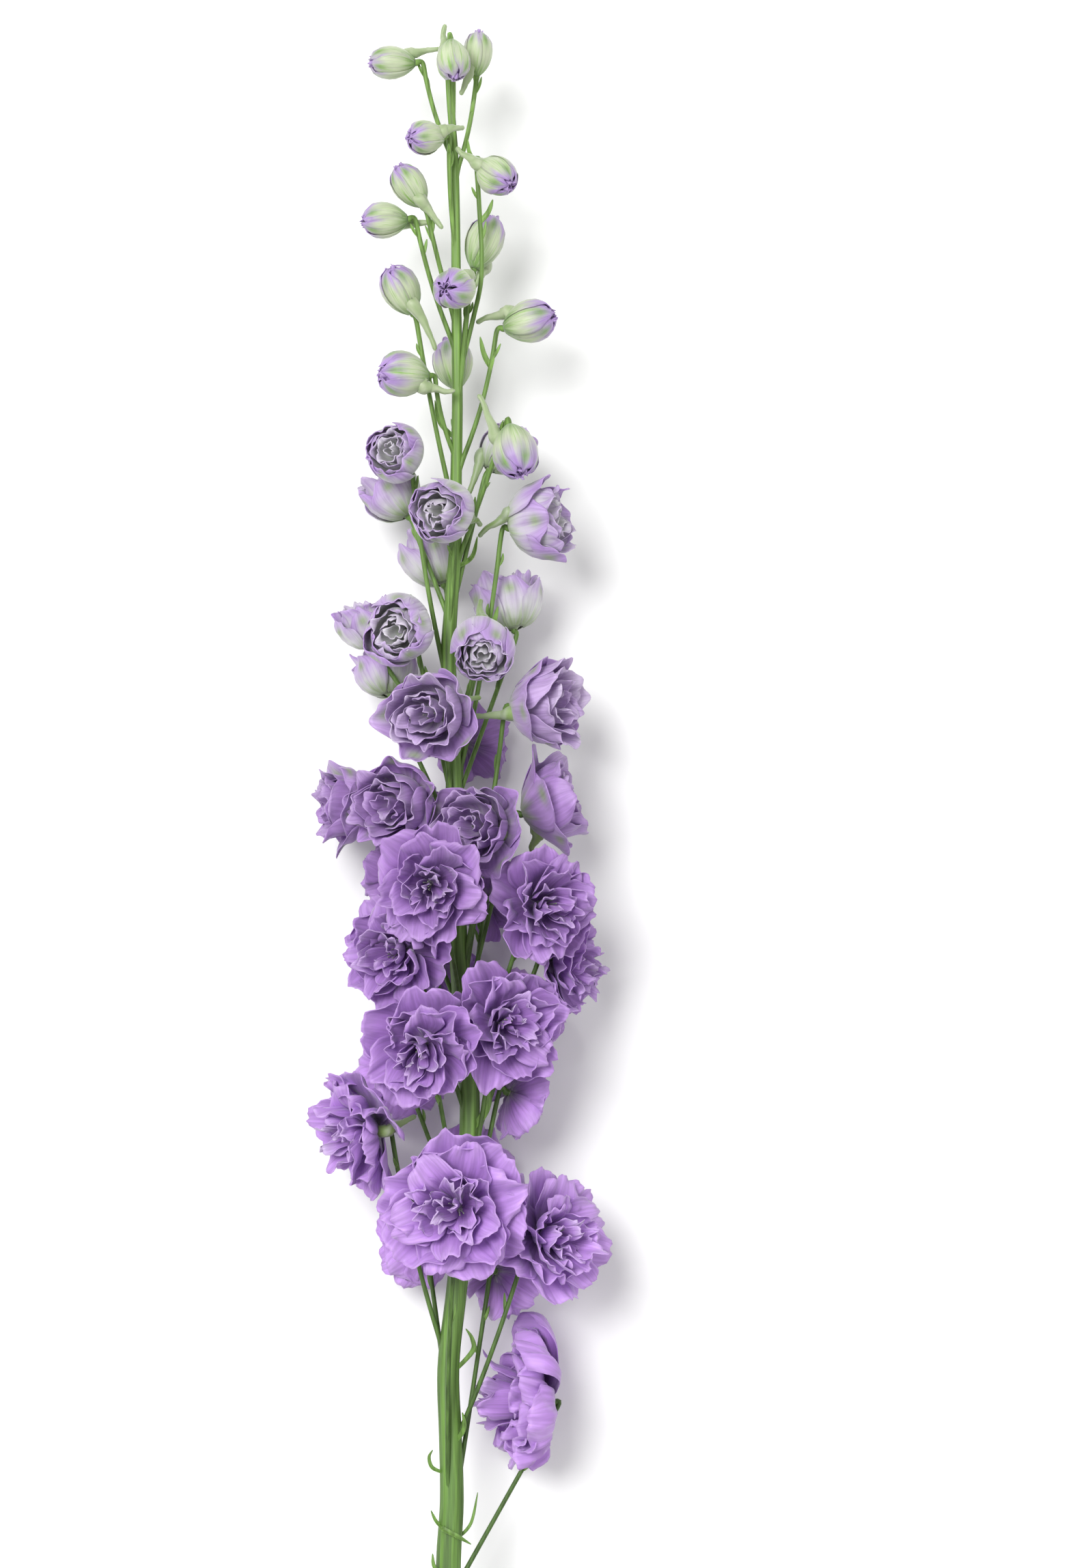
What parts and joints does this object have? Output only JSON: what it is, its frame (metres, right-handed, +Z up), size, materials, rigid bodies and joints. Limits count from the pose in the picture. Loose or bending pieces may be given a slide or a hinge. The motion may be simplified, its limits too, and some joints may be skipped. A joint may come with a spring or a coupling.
{
  "type": "delphinium flower spike",
  "caption": "Cut double delphinium spike lying on its back: ribbed green stem, slender stalks, spurred buds at the tip, half-open cups and full ruffled violet blooms lower down.",
  "frame": {"origin": "middle of the bounding box, on the surface that the spike lies on", "axes": "+Y along the stem from the cut end to the tip, +X across the spike to the right as seen from above, +Z up from the surface"},
  "size_m": [0.1182, 0.6614, 0.1],
  "materials": {
    "stem": "fresh green, satin, ribbed",
    "bud": "pale green with violet tips, satin",
    "half_open": "pale at the base, violet at the ruffled edge",
    "petal": "soft violet, silky matt"
  },
  "bodies": {
    "root": {"stem": "stem", "bud_01": "bud", "bud_02": "bud", "bud_03": "bud", "bud_04": "bud", "bud_05": "bud", "bud_06": "bud", "bud_07": "bud", "bud_08": "bud", "bud_09": "bud", "bud_10": "bud", "bud_11": "bud", "bud_12": "bud", "bud_13": "bud", "bud_14": "bud", "half_01": "half_open", "half_02": "half_open", "half_03": "half_open", "half_04": "half_open", "half_05": "half_open", "half_06": "half_open", "half_07": "half_open", "half_08": "half_open", "half_09": "half_open", "half_10": "half_open", "half_11": "half_open", "half_12": "half_open", "bloom_01": "petal", "bloom_02": "petal", "bloom_03": "petal", "bloom_04": "petal", "bloom_05": "petal", "bloom_06": "petal", "bloom_07": "petal", "bloom_08": "petal", "bloom_09": "petal", "bloom_10": "petal", "bloom_11": "petal", "bloom_12": "petal", "bloom_13": "petal", "bloom_14": "petal", "bloom_15": "petal", "bloom_16": "petal", "bloom_17": "petal", "bloom_18": "petal", "bloom_19": "petal", "bloom_20": "petal", "bloom_21": "petal", "bloom_22": "petal", "bloom_23": "petal", "bloom_24": "petal", "bloom_25": "petal", "bloom_26": "petal", "bloom_27": "petal"}
  },
  "joints": []
}
